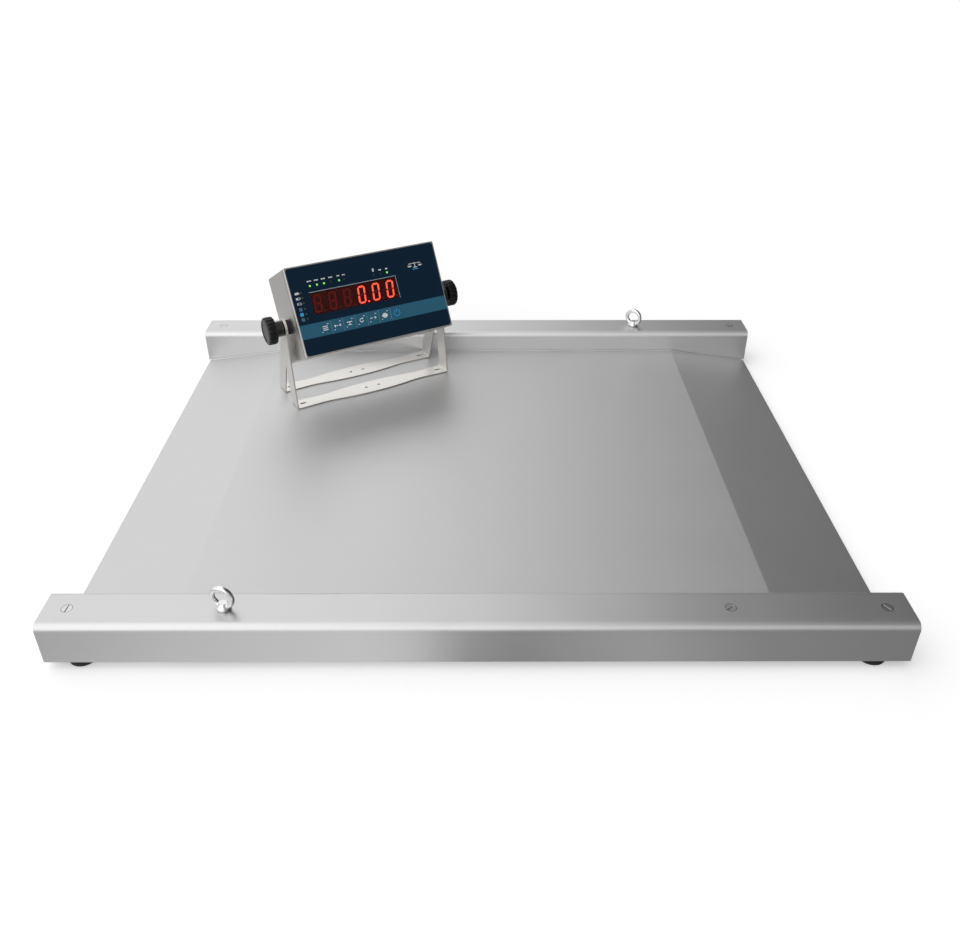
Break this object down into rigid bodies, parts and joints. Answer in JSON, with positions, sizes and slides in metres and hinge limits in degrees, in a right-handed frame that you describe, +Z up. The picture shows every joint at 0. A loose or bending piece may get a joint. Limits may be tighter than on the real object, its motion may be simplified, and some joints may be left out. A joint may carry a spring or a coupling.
{
  "type": "animal weighing scale",
  "caption": "Low stainless floor scale with ramps at both ends, raised side rails on levelling feet, and a tilting display on a two-bracket stand.",
  "frame": {"origin": "centre of the platform at floor level", "axes": "+X along the side rails, +Y from the near rail to the far rail, +Z up"},
  "size_m": [1.125, 0.96, 0.2933],
  "materials": {
    "brushed_deck": "brushed along the rails",
    "zinc_steel": "zinc plated",
    "bright_screw": "turned",
    "cell_alloy": "anodised",
    "bright_forging": "polished forging",
    "satin_strap": "satin",
    "satin_housing": "satin",
    "black_rubber": "matt",
    "stud_steel": "machined",
    "knob_black": "high gloss",
    "grey_box": "moulded",
    "black_nylon": "moulded",
    "cable_sheath": "extruded",
    "overlay_navy": "fine matt film",
    "overlay_teal": "fine matt film",
    "red_window": "smooth filter",
    "digit_face": "moulded",
    "lamp_green": "moulded lens",
    "board_green": "solder mask",
    "board_components": "moulded",
    "battery_case": "moulded",
    "supply_case": "plated"
  },
  "bodies": {
    "platform": {"deck_sheet": "brushed_deck", "deck_ribs": "brushed_deck", "ramp_gussets": "brushed_deck", "rail_near": "brushed_deck", "rail_far": "brushed_deck", "rail_end_caps": "brushed_deck", "slotted_screws": "bright_screw", "weld_nuts": "zinc_steel", "load_cells": "cell_alloy", "cell_spacers": "zinc_steel", "cell_bolts": "zinc_steel", "lock_nuts": "zinc_steel", "junction_box": "grey_box", "junction_lid": "grey_box", "junction_screws": "zinc_steel", "junction_standoffs": "zinc_steel", "junction_glands": "black_nylon", "cell_cables": "cable_sheath"},
    "eyebolt_near": {"eyebolt_near": "bright_forging"},
    "eyebolt_far": {"eyebolt_far": "bright_forging"},
    "foot_near_left": {"foot_pad_near_left": "black_rubber", "foot_stud_near_left": "stud_steel"},
    "foot_near_right": {"foot_pad_near_right": "black_rubber", "foot_stud_near_right": "stud_steel"},
    "foot_far_left": {"foot_pad_far_left": "black_rubber", "foot_stud_far_left": "stud_steel"},
    "foot_far_right": {"foot_pad_far_right": "black_rubber", "foot_stud_far_right": "stud_steel"},
    "stand": {"stand_front": "satin_strap"},
    "rear_bracket": {"stand_rear": "satin_strap"},
    "head": {"head_shell": "satin_housing", "front_cover": "satin_housing", "cover_gasket": "black_rubber", "front_overlay": "overlay_navy", "display_window": "red_window", "digit_modules": "digit_face", "status_lights": "lamp_green", "display_board": "board_green", "key_board": "board_green", "key_switches": "black_nylon", "pillars": "zinc_steel", "cover_screws": "zinc_steel", "main_board": "board_green", "board_parts": "board_components", "battery": "battery_case", "power_supply": "supply_case", "cable_glands": "black_nylon", "pivot_bushes": "zinc_steel", "pivot_spacers": "black_rubber"},
    "knob_left": {"knob_left": "knob_black", "knob_stud_left": "stud_steel"},
    "knob_right": {"knob_right": "knob_black", "knob_stud_right": "stud_steel"},
    "key_1": {"key_1": "overlay_teal"},
    "key_2": {"key_2": "overlay_teal"},
    "key_3": {"key_3": "overlay_teal"},
    "key_4": {"key_4": "overlay_teal"},
    "key_5": {"key_5": "overlay_teal"},
    "key_6": {"key_6": "overlay_teal"},
    "key_power": {"key_power": "overlay_teal"}
  },
  "joints": [
    {"name": "indicator_lift", "type": "slide", "parent": "platform", "child": "stand", "axis": [0, 0, 1], "range_m": [0, 0.25]},
    {"name": "rear_bracket_fold", "type": "hinge", "parent": "stand", "child": "rear_bracket", "pos_m": [-0.213, 0.2655, 0.1817], "axis": [0.8704, 0.4924, 0], "range_deg": [-11.8, 0]},
    {"name": "head_tilt", "type": "hinge", "parent": "stand", "child": "head", "pos_m": [-0.213, 0.2655, 0.1817], "axis": [0.8704, 0.4924, 0], "range_deg": [-59, 90]},
    {"name": "knob_left_turn", "type": "hinge", "parent": "head", "child": "knob_left", "pos_m": [-0.213, 0.2655, 0.1817], "axis": [0.8704, 0.4924, 0], "continuous": true},
    {"name": "knob_right_turn", "type": "hinge", "parent": "head", "child": "knob_right", "pos_m": [-0.213, 0.2655, 0.1817], "axis": [0.8704, 0.4924, 0], "continuous": true},
    {"name": "key_1_press", "type": "slide", "parent": "head", "child": "key_1", "axis": [-0.4348, 0.7685, -0.4695], "range_m": [0, 0.0005], "stiffness_N_per_m": 4000, "springref_m": -0.0001},
    {"name": "key_2_press", "type": "slide", "parent": "head", "child": "key_2", "axis": [-0.4348, 0.7685, -0.4695], "range_m": [0, 0.0005], "stiffness_N_per_m": 4000, "springref_m": -0.0001},
    {"name": "key_3_press", "type": "slide", "parent": "head", "child": "key_3", "axis": [-0.4348, 0.7685, -0.4695], "range_m": [0, 0.0005], "stiffness_N_per_m": 4000, "springref_m": -0.0001},
    {"name": "key_4_press", "type": "slide", "parent": "head", "child": "key_4", "axis": [-0.4348, 0.7685, -0.4695], "range_m": [0, 0.0005], "stiffness_N_per_m": 4000, "springref_m": -0.0001},
    {"name": "key_5_press", "type": "slide", "parent": "head", "child": "key_5", "axis": [-0.4348, 0.7685, -0.4695], "range_m": [0, 0.0005], "stiffness_N_per_m": 4000, "springref_m": -0.0001},
    {"name": "key_6_press", "type": "slide", "parent": "head", "child": "key_6", "axis": [-0.4348, 0.7685, -0.4695], "range_m": [0, 0.0005], "stiffness_N_per_m": 4000, "springref_m": -0.0001},
    {"name": "key_power_press", "type": "slide", "parent": "head", "child": "key_power", "axis": [-0.4348, 0.7685, -0.4695], "range_m": [0, 0.0005], "stiffness_N_per_m": 4000, "springref_m": -0.0001},
    {"name": "foot_near_left_turn", "type": "hinge", "parent": "platform", "child": "foot_near_left", "pos_m": [-0.52, -0.4583, 0.02], "axis": [0, 0, 1], "continuous": true},
    {"name": "foot_near_right_turn", "type": "hinge", "parent": "platform", "child": "foot_near_right", "pos_m": [0.52, -0.4583, 0.02], "axis": [0, 0, 1], "continuous": true},
    {"name": "foot_far_left_turn", "type": "hinge", "parent": "platform", "child": "foot_far_left", "pos_m": [-0.52, 0.4583, 0.02], "axis": [0, 0, 1], "continuous": true},
    {"name": "foot_far_right_turn", "type": "hinge", "parent": "platform", "child": "foot_far_right", "pos_m": [0.52, 0.4583, 0.02], "axis": [0, 0, 1], "continuous": true},
    {"name": "eyebolt_near_turn", "type": "hinge", "parent": "platform", "child": "eyebolt_near", "pos_m": [-0.328, -0.4445, 0.08], "axis": [0, 0, 1], "continuous": true},
    {"name": "eyebolt_far_turn", "type": "hinge", "parent": "platform", "child": "eyebolt_far", "pos_m": [0.328, 0.4445, 0.08], "axis": [0, 0, 1], "continuous": true}
  ],
  "couplings": [
    {"joint": "rear_bracket_fold", "follows": "indicator_lift", "rad_per_m": -0.8236}
  ]
}
